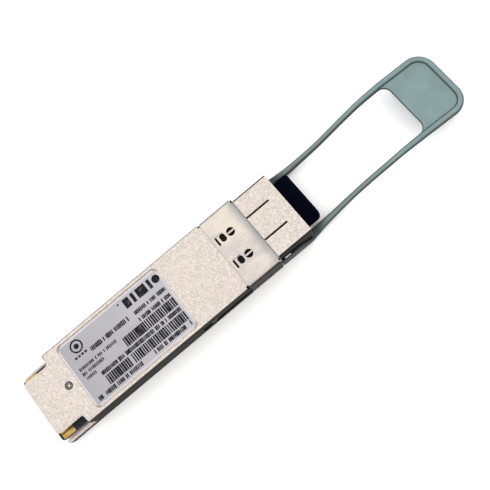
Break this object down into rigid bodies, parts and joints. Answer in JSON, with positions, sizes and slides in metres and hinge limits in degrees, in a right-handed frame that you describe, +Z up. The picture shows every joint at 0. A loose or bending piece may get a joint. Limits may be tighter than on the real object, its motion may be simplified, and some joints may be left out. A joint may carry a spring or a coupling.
{
  "type": "optical transceiver module",
  "caption": "Pluggable optical transceiver with a duplex fibre socket, card-edge contacts, a pull-tab release slider and a removable dust plug.",
  "frame": {"origin": "on the plane of the bottom face, at the middle of the whole part's footprint", "axes": "+Z up out of the label face, -Y out of the fibre socket along the pull tab, +Y out of the card edge, +X across"},
  "size_m": [0.0184, 0.1188, 0.0086],
  "materials": {
    "cast_nickel": "nickel-plated die casting, finely blasted, satin",
    "collar_steel": "thin stainless sheet, smooth satin",
    "screw_steel": "plated steel, satin",
    "label_film": "silver-grey polyester label with black thermal print",
    "board_laminate": "black solder mask on glass laminate",
    "contact_gold": "hard gold plating, smooth",
    "chip_epoxy": "black moulding compound, matte",
    "inductor_ferrite": "dark grey ferrite, matte",
    "passive_ceramic": "tan ceramic with tinned ends",
    "thermal_pad": "soft silicone pad, matte",
    "package_plating": "gold-plated metal package, satin",
    "barrel_steel": "turned stainless steel",
    "sleeve_ceramic": "white zirconia, polished",
    "flex_film": "amber polyimide over copper",
    "gasket_foam": "conductive foam, dark grey",
    "clamp_steel": "stamped stainless sheet",
    "receptacle_plastic": "black moulded plastic",
    "plug_plastic": "near-black blue soft plastic, satin",
    "slider_steel": "stamped stainless sheet, satin",
    "spring_steel": "music wire",
    "tab_plastic": "teal-grey moulded plastic, satin"
  },
  "bodies": {
    "module": {"base_housing": "cast_nickel", "top_cover": "cast_nickel", "emi_collar": "collar_steel", "cover_screw": "screw_steel", "label": "label_film", "circuit_board": "board_laminate", "edge_contacts_top": "contact_gold", "edge_contacts_bottom": "contact_gold", "laser_driver_chip": "chip_epoxy", "clock_recovery_chip": "chip_epoxy", "microcontroller_chip": "chip_epoxy", "regulator_chip": "chip_epoxy", "power_inductors": "inductor_ferrite", "passive_components": "passive_ceramic", "chip_thermal_pad": "thermal_pad", "optics_thermal_pad": "thermal_pad", "transmitter_package": "package_plating", "receiver_package": "package_plating", "transmitter_barrel": "barrel_steel", "receiver_barrel": "barrel_steel", "transmitter_sleeve": "sleeve_ceramic", "receiver_sleeve": "sleeve_ceramic", "transmitter_stub": "sleeve_ceramic", "receiver_stub": "sleeve_ceramic", "transmitter_flex": "flex_film", "receiver_flex": "flex_film", "emi_gasket": "gasket_foam", "optics_clamp": "clamp_steel", "lc_receptacle": "receptacle_plastic", "return_spring_left": "spring_steel", "return_spring_right": "spring_steel"},
    "release": {"release_slider": "slider_steel", "pull_tab": "tab_plastic"},
    "plug": {"dust_plug": "plug_plastic"}
  },
  "joints": [
    {"name": "release_slide", "type": "slide", "parent": "module", "child": "release", "axis": [0, -1, 0], "range_m": [0, 0.0022], "stiffness_N_per_m": 400, "springref_m": -0.002, "deforming": ["return_spring_left", "return_spring_right"]},
    {"name": "dust_plug_pull", "type": "slide", "parent": "module", "child": "plug", "axis": [0, -1, 0], "range_m": [0, 0.02]}
  ]
}
